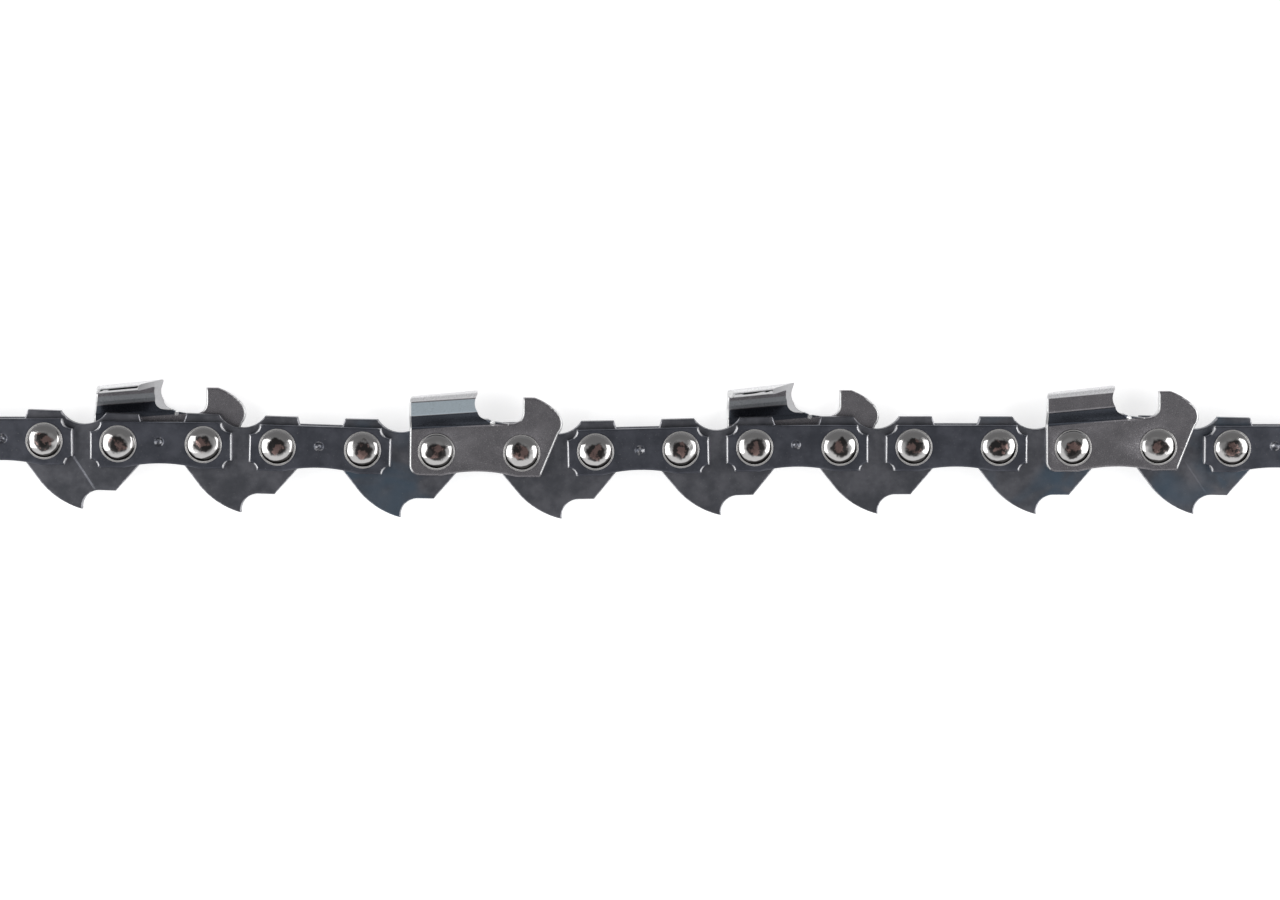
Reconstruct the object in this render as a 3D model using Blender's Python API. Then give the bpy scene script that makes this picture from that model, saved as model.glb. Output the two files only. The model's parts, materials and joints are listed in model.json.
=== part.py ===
# A length of low profile 3/8 inch saw chain: nine pairs of side links riveted to eight drive links.
# Metres, +Z up. The chain lies on its left side: it runs along +X, its cutters stand up along +Y,
# its drive tangs hang along -Y and its rivets stand along Z. The origin is under the middle of the
# fifth pair of side links, on the surface that the chain lies on.
import math

import bmesh
import bpy

# The run of the chain
pair_count = 9
middle_pair = 4
side_span = 0.00999
drive_span = 0.00865
# How far each link lies turned about Z, in degrees, from the rear end of the chain to the front
pair_lie = [0.0, -0.6, -1.93, -0.94, 1.41, 0.27, -0.13, 0.69, 0.0]
drive_lie = [-2.26, -2.0, -1.25, 0.99, 1.56, 0.0, -0.23, -1.16]
# The cutters alternate, left then right, with a pair of plain straps between
pattern_length = 4
left_cutter_place = 1
right_cutter_place = 3
dimpled_pairs = [0, 1, 2, 4, 5, 8]

# Clearances
side_gap = 0.00005
bearing_gap = 0.00005
rivet_gap = 0.00002

# Tie strap
plate_thickness = 0.00105
strap_reach = 0.00333
strap_top = 0.0026
foot_depth = 0.00283
waist_rise = 0.00054
foot_start = 0.0006
top_scoop = 0.0012
foot_scoop = 0.00097
dimple_radius = 0.00058
dimple_depth = 0.0003
dimple_lift = 0.00025

# Drive link
gauge = 0.0013
horn_top = 0.0035
horn_shoulder = 0.00258
horn_tip_reach = 0.00218
horn_base_reach = 0.00248
horn_inset = 0.00165
saddle_depth = 0.00146
drive_end_bulge = 0.0009
drive_heel_reach = 0.00226
drive_heel = 0.00268
tang_knee_inset = 0.00043
tang_knee = 0.00497
tang_bulge = 0.00044
tang_tip = 0.00797
tang_tip_place = 0.00018
hook_radius = 0.00201
hook_lip = 0.0003
toe_depth = 0.00566
toe_inset = 0.00028

# Rivet
bearing_radius = 0.0022
shank_radius = 0.00175
head_radius = 0.00217
head_rim = 0.00016
head_height = 0.00076
crown_radius = 0.00128
crown_drop = 0.00013

# Cutter
kerf = 0.0063
cutter_rear_reach = 0.00306
rear_corner = 0.0012
back_slope = math.radians(5.9)
fold_height = 0.00327
fold_front = 0.0015
lean_angle = math.radians(44)
bend_radius = 0.0005
inner_radius = 0.00025
tooth_top = 0.00736
tooth_front = 0.0006
top_corner_radius = 0.0006
top_plate_thickness = 0.00075
top_plate_drop = math.radians(2.5)
top_plate_width = 0.0035
back_taper = 26.0
gullet_floor = 0.00331
gullet_radius = 0.0013
gauge_rear = 0.00005
gauge_top = 0.0065
gauge_top_length = 0.0014
brow_bulge = 0.0002
nose_reach = 0.00427
nose_height = 0.00467
nose_bulge = 0.00045
cheek_reach = 0.0043
cheek_height = 0.00235
toe_reach = 0.0022
file_radius = 0.002
file_angle = math.radians(33)
file_centre_x = 0.0019
file_centre_y = 0.00552

# Facets
rivet_sides = 16
hole_sides = 16
bearing_hole_sides = 20
file_sides = 28
dimple_sides = 12
small_corner_steps = 3
corner_steps = 4
curve_steps = 6
saddle_steps = 8

# Places that follow from the sizes
side_half = side_span / 2
drive_half = drive_span / 2
strap_inner = gauge / 2 + side_gap
strap_outer = strap_inner + plate_thickness
strap_middle = strap_inner + plate_thickness / 2
lie_height = kerf / 2
# The tooth's side plate stands out to the full kerf where the file has left its cutting corner
cutting_corner_x = file_centre_x - file_radius / math.cos(file_angle)
file_length = 2 * kerf / math.cos(file_angle)


def arc(centre, radius, start, end, steps):
    points = []
    for i in range(steps + 1):
        angle = math.radians(start + (end - start) * i / steps)
        points.append((centre[0] + radius * math.cos(angle), centre[1] + radius * math.sin(angle)))
    return points


def bow(start, end, sag, steps):
    # A circular arc from start to end that swings out by sag to the right of the straight way
    dx, dy = end[0] - start[0], end[1] - start[1]
    chord = math.hypot(dx, dy)
    radius = (chord * chord / 4 + sag * sag) / (2 * abs(sag))
    half = math.asin(min(1.0, chord / (2 * radius)))
    side = math.copysign(1.0, sag)
    points = []
    for i in range(steps + 1):
        angle = half * (2 * i / steps - 1)
        along = 0.5 + radius * math.sin(angle) / chord
        out = side * (radius * math.cos(angle) - radius + abs(sag)) / chord
        points.append((start[0] + dx * along + dy * out, start[1] + dy * along - dx * out))
    return points


def mirrored(points):
    return [(-x, y) for x, y in reversed(points)]


def round_hole(x, y, clear_radius, sides):
    # The hole's flats lie clear_radius from its axis, so a round pin of that size fits
    corner_radius = clear_radius / math.cos(math.pi / sides)
    return arc((x, y), corner_radius, 0, 360, sides)[:-1]


def add_loop(bm, points, z):
    return [bm.verts.new((x, y, z)) for x, y in points]


def join_loops(bm, low, high):
    for i in range(len(low)):
        j = (i + 1) % len(low)
        bm.faces.new((low[i], low[j], high[j], high[i]))


def fill_between(bm, loops):
    edges = []
    for loop in loops:
        for i in range(len(loop)):
            pair = (loop[i - 1], loop[i])
            edges.append(bm.edges.get(pair) or bm.edges.new(pair))
    filled = bmesh.ops.triangle_fill(bm, use_beauty=True, edges=edges)
    return [item for item in filled["geom"] if isinstance(item, bmesh.types.BMFace)]


def add_dent(bm, centre, radius, depth, z):
    # A round bowl in the upper face, whose depth falls off with the square of the way to its rim.
    # The rim is returned, for the face around it to be filled to.
    loops = []
    for share in (1.0, 0.5):
        ring = arc(centre, radius * share, 0, 360, dimple_sides)[:-1]
        loops.append(add_loop(bm, ring, z - depth * (1 - share * share)))
    rim, floor = loops
    join_loops(bm, floor, rim)
    bottom = bm.verts.new((centre[0], centre[1], z - depth))
    for i in range(dimple_sides):
        bm.faces.new((floor[i - 1], floor[i], bottom))
    return rim


def flat_plate(outline, holes, thickness, dent=None):
    # A flat link, level about z = 0, with upright walls
    bm = bmesh.new()
    lower, upper = [], []
    for points in [outline] + holes:
        lower.append(add_loop(bm, points, -thickness / 2))
        upper.append(add_loop(bm, points, thickness / 2))
        join_loops(bm, lower[-1], upper[-1])
    if dent:
        upper.append(add_dent(bm, *dent, thickness / 2))
    fill_between(bm, lower)
    fill_between(bm, upper)
    return bm


def finish_mesh(bm, name, material, smooth_degrees=30):
    bmesh.ops.recalc_face_normals(bm, faces=bm.faces[:])
    if bm.calc_volume(signed=True) < 0:
        bmesh.ops.reverse_faces(bm, faces=bm.faces[:])
    mesh = bpy.data.meshes.new(name)
    bm.to_mesh(mesh)
    bm.free()
    mesh.materials.append(material)
    mesh.shade_smooth()
    mesh.set_sharp_from_angle(angle=math.radians(smooth_degrees))
    return mesh


def steel(name, colour, roughness, metallic):
    material = bpy.data.materials.new(name)
    material.use_nodes = True
    surface = material.node_tree.nodes["Principled BSDF"]
    surface.inputs["Base Color"].default_value = (*colour, 1)
    surface.inputs["Roughness"].default_value = roughness
    surface.inputs["Metallic"].default_value = metallic
    return material


def place(name, mesh, parent, location):
    thing = bpy.data.objects.new(name, mesh)
    bpy.context.collection.objects.link(thing)
    thing.parent = parent
    thing.location = location
    return thing


def pivot(name, parent, x, turn, z=0):
    # An empty on a rivet's axis: turning it bends the chain there
    thing = place(name, None, parent, (x, 0, z))
    thing.rotation_euler.z = math.radians(turn)
    return thing


def foot_arch():
    # The arched waist between the two feet that slide on the bar's rail
    ends = side_half - foot_start
    return bow((-ends, -foot_depth), (ends, -foot_depth), -waist_rise, curve_steps)


def rivet_holes():
    hole_radius = shank_radius + rivet_gap
    return [round_hole(x, 0, hole_radius, hole_sides) for x in (-side_half, side_half)]


def strap_mesh(name, material, dimpled):
    # Tie strap: arched waist, square ends, and scooped corners that clear the drive link's horns
    reach = side_half + strap_reach
    right_end = (
        arc((reach, -foot_depth), foot_scoop, 180, 90, small_corner_steps)
        + arc((reach, strap_top), top_scoop, 270, 180, corner_steps)
    )
    outline = foot_arch() + right_end + mirrored(right_end)
    dent = ((0, dimple_lift), dimple_radius, dimple_depth) if dimpled else None
    return finish_mesh(flat_plate(outline, rivet_holes(), plate_thickness, dent), name, material)


def drive_mesh(name, material):
    # Drive link: two horns over the rivets, a saddle between them and the hooked tang below
    tip = (tang_tip_place, -tang_tip)
    hook_floor = -tang_tip + hook_lip
    hook_x = tang_tip_place + hook_radius
    tang = (
        bow((-drive_half - tang_knee_inset, -tang_knee), tip, tang_bulge, curve_steps)
        + arc((hook_x, hook_floor), hook_radius, 180, 90, curve_steps)
        + [(drive_half - toe_inset, -toe_depth)]
    )
    heel = (drive_half + drive_heel_reach, -drive_heel)
    shoulder = (drive_half + horn_base_reach, horn_shoulder)
    front = bow(heel, shoulder, drive_end_bulge, curve_steps)
    horn = [(drive_half + horn_tip_reach, horn_top)]
    inner = drive_half - horn_inset
    saddle = bow((inner, horn_top), (-inner, horn_top), -saddle_depth, saddle_steps)
    outline = tang + front + horn + saddle + mirrored(horn) + mirrored(front)
    hole_radius = bearing_radius + bearing_gap
    holes = [round_hole(x, 0, hole_radius, bearing_hole_sides) for x in (-drive_half, drive_half)]
    return finish_mesh(flat_plate(outline, holes, gauge), name, material)


def rivet_mesh(name, material):
    # Rivet: a wide bearing for the drive link, a shank through each side link and two spun heads
    bearing_end = strap_inner - rivet_gap
    head_base = strap_outer + rivet_gap
    head_end = strap_outer + head_height
    half = [
        (bearing_radius, bearing_end),
        (shank_radius, bearing_end),
        (shank_radius, head_base),
        (head_radius, head_base),
        (head_radius, head_base + head_rim),
        (crown_radius, head_end - crown_drop),
        (0, head_end),
    ]
    profile = [(r, -z) for r, z in reversed(half)] + half
    bm = bmesh.new()
    verts = [bm.verts.new((r, 0, z)) for r, z in profile]
    edges = [bm.edges.new(pair) for pair in zip(verts, verts[1:])]
    bmesh.ops.spin(
        bm, geom=verts + edges, cent=(0, 0, 0), axis=(0, 0, 1), angle=math.tau, steps=rivet_sides
    )
    bmesh.ops.remove_doubles(bm, verts=bm.verts[:], dist=rivet_gap / 4)
    return finish_mesh(bm, name, material)


def meet(p, p_way, q, q_way):
    # Where the line through p along p_way crosses the line through q along q_way
    cross = p_way[0] * q_way[1] - p_way[1] * q_way[0]
    along = ((q[0] - p[0]) * q_way[1] - (q[1] - p[1]) * q_way[0]) / cross
    return (p[0] + p_way[0] * along, p[1] + p_way[1] * along)


def rounded(corners):
    # A path through corners given as (x, y, radius), with an arc at each corner that has a radius
    points = []
    for i, (x, y, radius) in enumerate(corners):
        if radius == 0:
            points.append((x, y))
            continue
        back = math.atan2(corners[i - 1][1] - y, corners[i - 1][0] - x)
        ahead = math.atan2(corners[i + 1][1] - y, corners[i + 1][0] - x)
        opening = math.remainder(ahead - back, math.tau)
        middle = back + opening / 2
        reach = radius / math.sin(abs(opening) / 2)
        centre = (x + reach * math.cos(middle), y + reach * math.sin(middle))
        turn = math.copysign(math.pi - abs(opening), opening)
        first = middle + math.pi + turn / 2
        last = first - turn
        points += arc(centre, radius, math.degrees(first), math.degrees(last), small_corner_steps)
    return points


def tooth_section():
    # The folded tooth in cross section, as (y, z) points: the outer face from the fold line up and
    # over, then the inner face back down. The plate leans out from the strap, stands upright as the
    # side plate, rounds over and runs in, sloping down a little, as the top plate.
    upright = (1, 0)
    lean = (math.cos(lean_angle), math.sin(lean_angle))
    inwards = (-math.sin(top_plate_drop), -math.cos(top_plate_drop))
    side_outer = kerf / 2
    fold_set = bend_radius * math.tan(lean_angle / 2)
    knee = (fold_height + fold_set, strap_outer)
    hip = meet(knee, lean, (0, side_outer), upright)
    crest = (tooth_top, side_outer)
    across = top_plate_width / math.cos(top_plate_drop)
    rim = (crest[0] + inwards[0] * across, crest[1] + inwards[1] * across)

    under_lean = (knee[0] + lean[1] * plate_thickness, knee[1] - lean[0] * plate_thickness)
    side_inner = (0, side_outer - plate_thickness)
    down = (inwards[1] * top_plate_thickness, -inwards[0] * top_plate_thickness)
    under_top = (crest[0] + down[0], crest[1] + down[1])
    inner_rim = (rim[0] + down[0], rim[1] + down[1])
    inner_knee = meet((0, strap_inner), upright, under_lean, lean)
    inner_hip = meet(under_lean, lean, side_inner, upright)
    inner_crest = meet(side_inner, upright, under_top, inwards)

    outer = rounded([
        (fold_height, strap_outer, 0),
        (*knee, bend_radius),
        (*hip, bend_radius),
        (*crest, top_corner_radius),
        (*rim, 0),
    ])
    inner = rounded([
        (*inner_rim, 0),
        (*inner_crest, inner_radius),
        (*inner_hip, inner_radius),
        (*inner_knee, bend_radius),
        (fold_height, strap_inner, 0),
    ])
    return outer[1:] + inner[:-1]


def cutter_outline():
    # The flat part of a cutter, anticlockwise from its feet: the depth gauge at the front, the
    # gullet, and the fold line that the tooth stands on, whose two ends come last but for the heel
    rear = -side_half - cutter_rear_reach
    toe = (side_half + toe_reach, -foot_depth)
    cheek = (side_half + cheek_reach, cheek_height)
    nose = (side_half + nose_reach, nose_height)
    gauge_back = side_half + gauge_rear
    brow = (gauge_back + gauge_top_length, gauge_top)
    front = [toe] + bow(cheek, nose, nose_bulge, corner_steps)
    front += bow(nose, brow, brow_bulge, corner_steps)[1:]
    floor_corner = (gauge_back - gullet_radius, gullet_floor + gullet_radius)
    gullet = [(gauge_back, gauge_top)] + arc(floor_corner, gullet_radius, 0, -90, curve_steps)
    fold = [(x, fold_height + x * math.tan(back_slope)) for x in (fold_front, rear)]
    heel_centre = (rear + rear_corner, -foot_depth + rear_corner)
    heel = arc(heel_centre, rear_corner, 180, 270, corner_steps)
    return heel + foot_arch() + front + gullet + fold


def tooth_end(bm, x_low, x_high):
    # The tooth's section stood up at one end, from x_low at the fold line to x_high at the top. It
    # slopes down to the rear and stands out less there, so that only the cutting corner cuts.
    end = []
    for y, z in tooth_section():
        x = x_low + (x_high - x_low) * (y - fold_height) / (tooth_top - fold_height)
        if z > strap_outer:
            z = strap_outer + (z - strap_outer) * (1 + back_taper * (x - cutting_corner_x))
        end.append(bm.verts.new((x, y + x * math.tan(back_slope), z)))
    return end


def cutter_mesh(name, material, side):
    # side is 1 for a right hand cutter, whose plate lies on the chain's right, and -1 for a left
    outline = cutter_outline()
    bm = bmesh.new()
    inner, outer = [], []
    for points in [outline] + rivet_holes():
        inner.append(add_loop(bm, points, strap_inner))
        outer.append(add_loop(bm, points, strap_outer))
    fill_between(bm, inner)
    fill_between(bm, outer)
    for low, high in zip(inner, outer):
        join_loops(bm, low, high)
    # The wall along the fold line gives way to the tooth
    fold_wall = {outer[0][-2], outer[0][-1], inner[0][-1], inner[0][-2]}
    wall = [face for face in bm.faces if set(face.verts) == fold_wall]
    bmesh.ops.delete(bm, geom=wall, context="FACES_ONLY")
    rear = outline[-1][0]
    rear_end = [outer[0][-1]] + tooth_end(bm, rear, rear) + [inner[0][-1]]
    front_end = [outer[0][-2]] + tooth_end(bm, fold_front, tooth_front) + [inner[0][-2]]
    for i in range(len(rear_end) - 1):
        bm.faces.new((rear_end[i], rear_end[i + 1], front_end[i + 1], front_end[i]))
    bm.faces.new(rear_end)
    bm.faces.new(front_end)
    for vert in bm.verts:
        vert.co.z *= side
    return finish_mesh(bm, name, material)


def file_mesh(name):
    # The round file that sharpens the tooth
    bm = bmesh.new()
    bmesh.ops.create_cone(
        bm, cap_ends=True, segments=file_sides, radius1=file_radius, radius2=file_radius, depth=file_length
    )
    mesh = bpy.data.meshes.new(name)
    bm.to_mesh(mesh)
    bm.free()
    return mesh


def add_cutter(name, mesh, filing, parent, side):
    cutter = place(name, mesh, parent, (0, 0, 0))
    guide = place(name + "_file", filing, parent, (file_centre_x, file_centre_y, side * kerf / 2))
    guide.rotation_euler.y = side * file_angle
    guide.hide_render = True
    guide.display_type = "WIRE"
    cut = cutter.modifiers.new("Filed edge", "BOOLEAN")
    cut.operation = "DIFFERENCE"
    cut.object = guide


def add_pair(number, centre, meshes):
    # Two side links and the two rivets that hold them, about an empty at their middle
    place_in_pattern = number % pattern_length
    for side, hand, cutter_place in ((1, "right", right_cutter_place), (-1, "left", left_cutter_place)):
        label = f"{number + 1}"
        if place_in_pattern == cutter_place:
            add_cutter(f"{hand}_cutter_{label}", meshes[hand + "_cutter"], meshes["file"], centre, side)
            continue
        dimpled = side > 0 and number in dimpled_pairs
        mesh = meshes["dimpled_strap"] if dimpled else meshes["strap"]
        place(f"{hand}_tie_strap_{label}", mesh, centre, (0, 0, side * strap_middle))
    place(f"rear_rivet_{number + 1}", meshes["rivet"], centre, (-side_half, 0, 0))
    place(f"front_rivet_{number + 1}", meshes["rivet"], centre, (side_half, 0, 0))


def add_branch(way, root, meshes):
    # The chain from the middle pair to one end: way is 1 towards the front, -1 towards the rear
    parent, x, parent_lie = root, way * side_half, pair_lie[middle_pair]
    number = middle_pair
    while 0 <= number + way < pair_count:
        drive_number = number if way > 0 else number - 1
        number += way
        lie = drive_lie[drive_number]
        link = pivot(f"pivot_drive_{drive_number + 1}", parent, x, lie - parent_lie)
        place(f"drive_link_{drive_number + 1}", meshes["drive_link"], link, (way * drive_half, 0, 0))
        pair = pivot(f"pivot_pair_{number + 1}", link, way * drive_span, pair_lie[number] - lie)
        centre = place(f"pair_{number + 1}", None, pair, (way * side_half, 0, 0))
        add_pair(number, centre, meshes)
        parent, x, parent_lie = pair, way * side_span, pair_lie[number]


def build():
    for thing in list(bpy.data.objects):
        bpy.data.objects.remove(thing)
    link_steel = steel("link_steel", (0.045, 0.045, 0.055), 0.38, 0.9)
    tang_steel = steel("tang_steel", (0.05, 0.052, 0.062), 0.42, 0.9)
    cutter_steel = steel("cutter_steel", (0.13, 0.125, 0.13), 0.36, 0.9)
    rivet_steel = steel("rivet_steel", (0.55, 0.53, 0.51), 0.12, 1.0)
    meshes = {
        "strap": strap_mesh("tie_strap", link_steel, False),
        "dimpled_strap": strap_mesh("dimpled_tie_strap", link_steel, True),
        "drive_link": drive_mesh("drive_link", tang_steel),
        "rivet": rivet_mesh("rivet", rivet_steel),
        "right_cutter": cutter_mesh("right_cutter", cutter_steel, 1),
        "left_cutter": cutter_mesh("left_cutter", cutter_steel, -1),
        "file": file_mesh("file"),
    }
    root = pivot("middle", None, 0, pair_lie[middle_pair], lie_height)
    add_pair(middle_pair, root, meshes)
    add_branch(1, root, meshes)
    add_branch(-1, root, meshes)


build()
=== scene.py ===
import json
import math

import bmesh
import bpy
import numpy as np
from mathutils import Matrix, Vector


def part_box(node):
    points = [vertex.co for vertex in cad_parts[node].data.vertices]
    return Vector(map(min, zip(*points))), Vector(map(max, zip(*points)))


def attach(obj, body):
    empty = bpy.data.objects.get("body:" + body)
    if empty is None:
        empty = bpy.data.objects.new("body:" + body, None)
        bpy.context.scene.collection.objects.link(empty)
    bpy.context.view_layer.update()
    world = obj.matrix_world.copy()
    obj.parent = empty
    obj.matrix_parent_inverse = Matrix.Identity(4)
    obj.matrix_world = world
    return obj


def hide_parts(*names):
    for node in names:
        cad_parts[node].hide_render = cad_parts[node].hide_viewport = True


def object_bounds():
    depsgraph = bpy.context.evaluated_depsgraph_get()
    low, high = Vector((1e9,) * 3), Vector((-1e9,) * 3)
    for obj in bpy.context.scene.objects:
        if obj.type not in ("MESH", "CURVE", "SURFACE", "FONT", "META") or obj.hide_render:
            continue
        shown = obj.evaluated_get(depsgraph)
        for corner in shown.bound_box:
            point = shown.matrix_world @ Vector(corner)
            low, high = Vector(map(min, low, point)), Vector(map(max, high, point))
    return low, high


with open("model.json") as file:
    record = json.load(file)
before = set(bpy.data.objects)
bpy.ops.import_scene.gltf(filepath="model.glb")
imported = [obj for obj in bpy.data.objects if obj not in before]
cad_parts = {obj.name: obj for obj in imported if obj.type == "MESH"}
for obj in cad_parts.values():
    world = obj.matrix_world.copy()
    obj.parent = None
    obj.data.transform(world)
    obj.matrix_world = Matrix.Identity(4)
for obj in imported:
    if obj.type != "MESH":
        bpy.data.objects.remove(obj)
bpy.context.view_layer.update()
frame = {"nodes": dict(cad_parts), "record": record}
print("frame loaded,", len(frame["nodes"]), "nodes")

mm = 0.001  # the sizes below are in millimetres
weldWithin = 2e-7  # points nearer to each other than this, in metres, become one

chain = {
    "gauge": 1.3,  # thickness of a drive link
    "gap": 0.05,  # play on each side of it
    "plate": 1.05,  # thickness of a side link
    "kerf": 6.3,  # width of the cut, over the cutters of both hands
    "waist": 2.83,  # depth of the feet below the rivets
    "waistRise": 0.54,
    "footStart": 0.6,
    "land": 0.06,  # flat strip between a face and its rounded edge
}
plateInner = chain["gauge"] / 2 + chain["gap"]
plateOuter = plateInner + chain["plate"]


# Paths. Each is an array of points, one row for each point.

def arcPath(centre, radius, start, end, count):
    # centre + radius * (cos a, sin a), with a even between start and end, in degrees
    a = np.radians(np.linspace(start, end, count))
    return np.stack([centre[0] + radius * np.cos(a), centre[1] + radius * np.sin(a)], axis=1)


def bowPath(start, end, sag, count):
    # The circular arc from start to end that swings out by sag to the right of the straight way
    start, end = np.array(start, float), np.array(end, float)
    way = end - start
    chord = np.hypot(way[0], way[1])
    radius = (chord ** 2 / 4 + sag ** 2) / (2 * abs(sag))
    a = math.asin(min(1.0, chord / (2 * radius))) * np.linspace(-1, 1, count)
    along = 0.5 + radius * np.sin(a) / chord
    out = math.copysign(1.0, sag) * (radius * np.cos(a) - radius + abs(sag)) / chord
    return start + along[:, None] * way + out[:, None] * np.array([way[1], -way[0]])


def linePath(start, end, count):
    # start + t * (end - start), with t even between 0 and 1
    t = np.linspace(0, 1, count)[:, None]
    return np.array(start, float) * (1 - t) + np.array(end, float) * t


def flipped(path):
    return path[::-1] * [-1, 1]


def joined(*paths):
    # One path from several, without the points that repeat the one before
    path, nearest = np.concatenate(paths), 1e-4
    step = np.hypot(*(path[1:] - path[:-1]).T)
    return path[np.concatenate([[True], step > nearest])]


def cleared(path, inset):
    # An open path without the points that its inset would carry past each other: those nearer to a
    # corner that sticks out than inset / tan(half of the corner's angle)
    ahead = path[1:] - path[:-1]
    way = np.arctan2(ahead[:, 1], ahead[:, 0])
    turn = (np.diff(way) + math.pi) % (2 * math.pi) - math.pi
    along = np.concatenate([[0], np.cumsum(np.hypot(*ahead.T))])
    keep, sharpTurn, margin = np.ones(len(path), bool), 0.4, 1.05
    for corner in np.flatnonzero(turn > sharpTurn) + 1:
        reach = margin * inset * math.tan(turn[corner - 1] / 2)
        near = np.abs(along - along[corner]) < reach
        near[corner] = False
        keep &= ~near
    keep[[0, -1]] = True
    return path[keep]


def inwards(path):
    # The mitred way in at each point of an anticlockwise path, closed end to end: the sum of the
    # normals of its two edges over one plus their dot product, so that both edges move in equally
    ahead = np.roll(path, -1, axis=0) - path
    ahead = ahead / np.linalg.norm(ahead, axis=1, keepdims=True)
    normal = np.stack([-ahead[:, 1], ahead[:, 0]], axis=1)
    before = np.roll(normal, 1, axis=0)
    dot = np.sum(normal * before, axis=1, keepdims=True)
    sharpest = 0.15  # keeps the way in short where the path doubles back
    return (normal + before) / np.maximum(1 + dot, sharpest)


def endShare(way):
    # How far each point of an outline faces along the chain, towards the lamps: the square of its
    # normal's x. It sets how much painted highlight an edge gets.
    return (way[:, 0] / np.linalg.norm(way, axis=1)) ** 2


def rimProfile(thickness, radius, land=chain["land"], steps=5, wall=3):
    # The edge of a stamped plate, from its upper face round to its lower one, as rows of (inset,
    # depth, wear): a flat land, a quarter round, the wall, a quarter round and a land
    a = np.linspace(0, math.pi / 2, steps)
    top = np.stack([radius * (1 - np.sin(a)), radius * (1 - np.cos(a)), np.sin(2 * a) * 0.4 + 0.6], axis=1)
    top = np.concatenate([[[radius + land, 0, 0]], top])
    bottom = top[::-1] * [1, -1, 1] + [0, thickness, 0]
    return np.concatenate([top, linePath(top[-1], bottom[0], wall + 2)[1:-1], bottom])


def holeProfile(thickness, recess=0.0, recessDepth=0.0, radius=0.1, land=0.04):
    # The same for a hole, with a cone-shaped recess for the rivet's head in the upper face
    rim = rimProfile(thickness, radius, land, 3, 1)
    if recess:
        cone = np.array([[recess + land, 0, 0], [recess, 0.01, 0.4], [recess - 0.06, 0.04, 0.2],
                         [recess / 2, recessDepth, 0], [radius + land, recessDepth, 0]])
        rim[:, 1] = np.maximum(rim[:, 1], recessDepth)
        rim = np.concatenate([cone, rim[2:]])
    return rim


class Shell:
    # The points and faces of one closed surface. Each point carries its wear and painted light, which is
    # above 0 where an edge is rubbed bare and painted pale as a highlight and -1 where it is painted dark
    # as shade, and each face the number of its finish.
    def __init__(self):
        self.points, self.wear, self.faces, self.finish, self.count = [], [], [], [], 0

    def add(self, points, wear=0.0):
        # Adds an array (..., 3) of points, and gives back their numbers in the same shape
        shape = points.shape[:-1]
        numbers = np.arange(self.count, self.count + int(np.prod(shape))).reshape(shape)
        self.count += numbers.size
        self.points.append(points.reshape(-1, 3))
        self.wear.append(np.broadcast_to(wear, shape).reshape(-1))
        return numbers

    def skin(self, numbers, closed=True, finish=0):
        # A face between each four neighbours of a grid; closed joins its last column to its first
        ahead = np.roll(numbers, -1, axis=1) if closed else numbers[:, 1:]
        here = numbers if closed else numbers[:, :-1]
        quads = np.stack([here[:-1], here[1:], ahead[1:], ahead[:-1]], axis=-1).reshape(-1, 4)
        self.faces += quads.tolist()
        self.finish.append(np.broadcast_to(finish, here[:-1].shape).reshape(-1))

    def cover(self, loop):
        self.faces.append(loop.tolist())
        self.finish.append(np.zeros(1, int))

    def fan(self, row, pole):
        # Closes a row of points onto one more, at (x, y, z), which is as worn as the last point was
        pole = self.add(np.array([pole]), self.wear[-1][-1])[0]
        self.faces += np.stack([row, np.roll(row, -1), np.full_like(row, pole)], axis=1).tolist()
        self.finish.append(np.zeros(len(row), int))


def carried(outline, way, profile, top):
    # A profile carried along an outline: row k is the outline moved in by inset k, at depth k
    flat = outline[None] + way[None] * profile[:, None, None, 0]
    height = np.broadcast_to((top - profile[:, 1])[:, None, None], (*flat.shape[:2], 1))
    return np.concatenate([flat, height], axis=-1)


def addHole(shell, centre, radius, profile, top, count=56):
    # A hole is a clockwise circle from its left, so that the way in leads off into the metal
    circle = arcPath(centre, radius, 180, -180, count + 1)[:-1]
    grid = carried(circle, inwards(circle), profile, top)
    numbers = shell.add(grid, profile[:, 2][:, None])
    shell.skin(numbers)
    return numbers


def addDimple(shell, dimple, centre, top, count=36):
    # A round bowl pressed into a face, with a soft lip: its depth is (1 - s^2)^1.5 of the full
    # depth, where s is the distance from its middle over its radius
    s = np.array([1.16, 1.0, 0.94, 0.86, 0.75, 0.6, 0.42, 0.2])
    depth = dimple["depth"] * np.clip(1 - s ** 2, 0, 1) ** 1.5
    a = np.radians(np.linspace(180, -180, count + 1)[:-1])
    x = centre[0] + dimple["radius"] * s[:, None] * np.cos(a)
    y = centre[1] + dimple["radius"] * s[:, None] * np.sin(a)
    # The bowl's shine paints it pale, as a painted highlight
    numbers = shell.add(np.stack([x, y, np.broadcast_to((top - depth)[:, None], x.shape)], axis=-1),
                        (dimple["shine"] * (s < 0.98))[:, None])
    shell.skin(numbers)
    shell.fan(numbers[-1][::-1], (centre[0], centre[1], top - dimple["depth"]))
    return numbers[0]


def addFaces(shell, outline, right, left, openings, lower):
    # The flat face inside an outline's ring, in two pieces that meet along the line through its
    # openings. right and left are where that line meets the outline; the openings go left to right.
    over = [ring[:len(ring) // 2 + 1] for ring in openings]
    under = [np.append(ring[len(ring) // 2:], ring[0]) for ring in openings]
    count = len(outline)
    upperPart = np.roll(outline, -right)[:(left - right) % count + 1]
    lowerPart = np.roll(outline, -left)[:(right - left) % count + 1]
    for loop in (np.concatenate([upperPart, *over]), np.concatenate([lowerPart, *under[::-1]])):
        shell.cover(loop[::-1] if lower else loop)


def middleOf(node):
    low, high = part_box(node)
    return np.array((low + high) / 2)


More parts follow.
